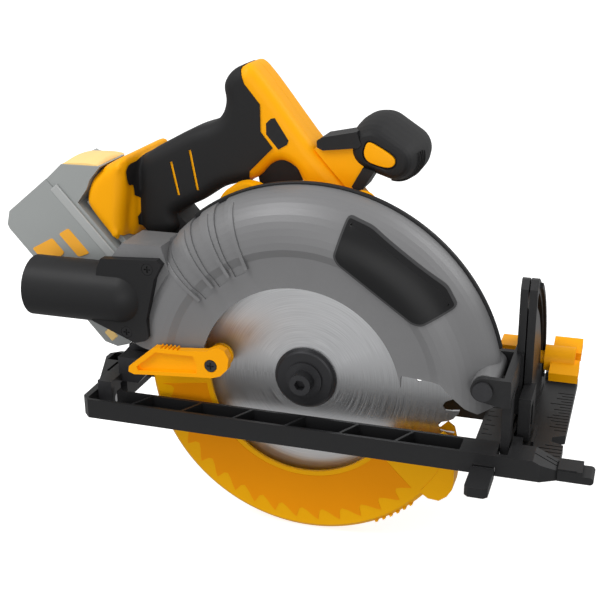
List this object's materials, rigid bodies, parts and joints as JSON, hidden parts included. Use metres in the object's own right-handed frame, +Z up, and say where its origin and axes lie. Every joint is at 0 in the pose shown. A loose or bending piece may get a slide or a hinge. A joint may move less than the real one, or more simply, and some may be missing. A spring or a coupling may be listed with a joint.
{
  "type": "cordless circular saw",
  "caption": "Battery circular saw with tilting base, swinging lower guard, dust port, top handle and front knob.",
  "frame": {"origin": "on the underside of the sole, in the plane of the blade, below the arbor", "axes": "+X forward along the cut, +Y to the operator's left (the motor side), +Z up from the sole"},
  "size_m": [0.3743, 0.161, 0.2725],
  "materials": {
    "base_black": "satin black coating",
    "bracket_grey": "dark zinc",
    "plastic_black": "fine grain",
    "plastic_yellow": "satin moulded",
    "rubber_black": "fine texture",
    "guard_grey": "satin cast",
    "label_black": "printed label without lettering",
    "steel": "bright",
    "dark_steel": "blackened",
    "blade_steel": "ground in rings",
    "carbide": "ground",
    "copper": "enamelled windings",
    "guard_orange": "moulded",
    "button_red": "moulded",
    "board_green": "coated",
    "cell_blue": "sleeved",
    "pack_grey": "moulded",
    "pack_pale": "moulded"
  },
  "bodies": {
    "base": {"base_frame": "base_black", "quadrant_plate": "base_black", "cut_line_guide": "plastic_black", "bevel_pins": "steel"},
    "fence": {"fence_bar": "steel", "fence_cap": "plastic_black"},
    "fence_clamp": {"fence_screw": "plastic_black"},
    "bevel": {"bevel_bracket": "base_black", "depth_guide": "bracket_grey", "bevel_bolt": "plastic_yellow", "depth_pin": "steel"},
    "bevel_nut": {"bevel_knob": "plastic_yellow"},
    "saw": {"upper_guard": "guard_grey", "badge_panel": "label_black", "guard_gasket": "rubber_black", "gear_case": "plastic_yellow", "dust_port": "plastic_black", "dust_port_screws": "steel", "guard_screws": "steel", "front_bearing": "steel", "rear_bearing": "steel", "motor_bearings": "steel", "stator": "copper", "motor_housing": "plastic_yellow", "motor_end_cap": "plastic_black", "handle_right": "plastic_yellow", "handle_left": "plastic_yellow", "rubber_grip": "rubber_black", "column_inserts": "plastic_black", "knob_frame": "plastic_black", "knob_web": "plastic_yellow", "knob_grip": "rubber_black", "knob_insert": "plastic_yellow", "switch_module": "plastic_black", "control_board": "board_green", "terminal_block": "plastic_black", "handle_screws": "steel", "handle_strut": "plastic_black", "guard_spring": "steel"},
    "arbor": {"blade": "blade_steel", "blade_tips": "carbide", "inner_flange": "dark_steel", "outer_flange": "dark_steel", "blade_bolt": "dark_steel", "spindle": "steel", "output_gear": "steel"},
    "rotor": {"rotor_shaft": "steel", "rotor_core": "dark_steel", "fan": "plastic_black"},
    "swing_guard": {"lower_guard": "guard_orange", "guard_lever": "plastic_yellow", "lever_screw": "dark_steel"},
    "trigger_body": {"trigger": "plastic_black"},
    "lock_off": {"lock_off_button": "plastic_black"},
    "spindle_lock": {"spindle_lock_button": "button_red"},
    "depth_clamp": {"depth_lever": "plastic_yellow"},
    "battery": {"battery_case": "pack_grey", "battery_cover": "pack_pale", "battery_cells": "cell_blue"},
    "battery_release": {"battery_button": "plastic_yellow"}
  },
  "joints": [
    {"name": "bevel_tilt", "type": "hinge", "parent": "base", "child": "bevel", "pos_m": [0, -0.014, 0.006], "axis": [1, 0, 0], "range_deg": [0, 45]},
    {"name": "bevel_nut_turn", "type": "hinge", "parent": "bevel", "child": "bevel_nut", "pos_m": [0.142, 0.06846, 0.03043], "axis": [1, 0, 0], "range_deg": [-60, 60]},
    {"name": "depth_swing", "type": "hinge", "parent": "bevel", "child": "saw", "pos_m": [0.108, 0, 0.045], "axis": [0, 1, 0], "range_deg": [0, 23]},
    {"name": "depth_clamp_turn", "type": "hinge", "parent": "saw", "child": "depth_clamp", "pos_m": [-0.08154, 0.034, 0.03175], "axis": [0, -1, 0], "range_deg": [0, 40]},
    {"name": "blade_spin", "type": "hinge", "parent": "saw", "child": "arbor", "pos_m": [0, 0, 0.0295], "axis": [0, -1, 0], "continuous": true},
    {"name": "rotor_spin", "type": "hinge", "parent": "saw", "child": "rotor", "pos_m": [-0.01268, 0.05, 0.05669], "axis": [0, -1, 0], "continuous": true},
    {"name": "guard_swing", "type": "hinge", "parent": "saw", "child": "swing_guard", "pos_m": [0, 0, 0.0295], "axis": [0, 1, 0], "range_deg": [0, 110], "stiffness_Nm_per_rad": 0.1, "springref_deg": -85.94},
    {"name": "trigger_pull", "type": "hinge", "parent": "saw", "child": "trigger_body", "pos_m": [-0.017, 0.052, 0.146], "axis": [0, 1, 0], "range_deg": [0, 12], "stiffness_Nm_per_rad": 1, "springref_deg": -17.19},
    {"name": "lock_off_push", "type": "slide", "parent": "saw", "child": "lock_off", "axis": [0, 1, 0], "range_m": [-0.002, 0.002], "stiffness_N_per_m": 800},
    {"name": "spindle_lock_push", "type": "slide", "parent": "saw", "child": "spindle_lock", "axis": [0, -1, 0], "range_m": [0, 0.0015], "stiffness_N_per_m": 800, "springref_m": -0.002},
    {"name": "battery_slide", "type": "slide", "parent": "saw", "child": "battery", "axis": [-0.6691, 0, 0.7431], "range_m": [0, 0.06]},
    {"name": "battery_release_push", "type": "slide", "parent": "battery", "child": "battery_release", "axis": [0, 0, -1], "range_m": [0, 0.0015], "stiffness_N_per_m": 900, "springref_m": -0.002},
    {"name": "fence_slide", "type": "slide", "parent": "base", "child": "fence", "axis": [0, -1, 0], "range_m": [0, 0.09]},
    {"name": "fence_clamp_turn", "type": "hinge", "parent": "base", "child": "fence_clamp", "pos_m": [0.1119, 0.09, 0.014], "axis": [0, 0, 1], "range_deg": [-180, 180]}
  ],
  "couplings": [
    {"joint": "rotor_spin", "follows": "blade_spin", "ratio": -4.1667}
  ]
}
